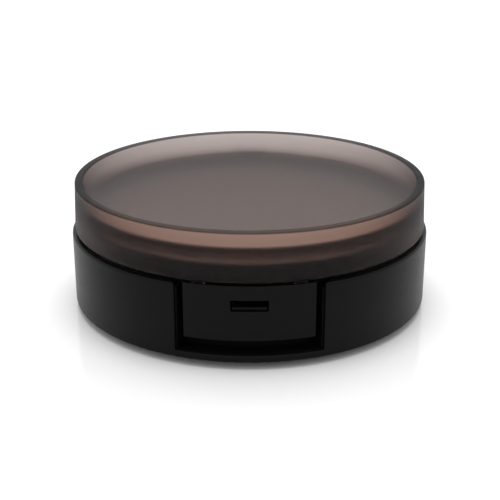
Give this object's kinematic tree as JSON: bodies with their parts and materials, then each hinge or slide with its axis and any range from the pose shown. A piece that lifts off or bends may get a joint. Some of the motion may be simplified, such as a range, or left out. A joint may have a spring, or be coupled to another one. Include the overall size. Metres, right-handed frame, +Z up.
{
  "type": "wet palette",
  "caption": "Round wet palette: a smoky dished lid on a rear hinge, a black base with a front snap latch, and a lift-out water tray with sponge and paper.",
  "frame": {"origin": "centre of the foot ring's lower face, on the case's round axis", "axes": "+Z up, -Y to the front latch, +Y to the rear hinge, +X to the viewer's right"},
  "size_m": [0.12, 0.1233, 0.043],
  "materials": {
    "black_plastic": "satin moulded black",
    "tray_plastic": "satin moulded black",
    "smoky_plastic": "frosted smoky brown, translucent plastic",
    "gasket_silicone": "translucent silicone",
    "foot_rubber": "matt black",
    "sponge_foam": "open-cell foam",
    "palette_paper": "unbleached matt parchment",
    "pin_steel": "drawn wire"
  },
  "bodies": {
    "base": {"base_shell": "black_plastic", "foot_ring": "foot_rubber", "water_tray": "tray_plastic", "sponge": "sponge_foam", "palette_paper": "palette_paper", "hinge_pin": "pin_steel"},
    "lid": {"lid": "smoky_plastic", "lid_gasket": "gasket_silicone", "latch_pin_right": "pin_steel", "latch_pin_left": "pin_steel"},
    "latch": {"latch_flap": "black_plastic"}
  },
  "joints": [
    {"name": "lid_hinge", "type": "hinge", "parent": "base", "child": "lid", "pos_m": [0, 0.0612, 0.02685], "axis": [-1, 0, 0], "range_deg": [0, 105]},
    {"name": "latch_hinge", "type": "hinge", "parent": "lid", "child": "latch", "pos_m": [0, -0.0551, 0.026], "axis": [-1, 0, 0], "range_deg": [0, 12]}
  ]
}
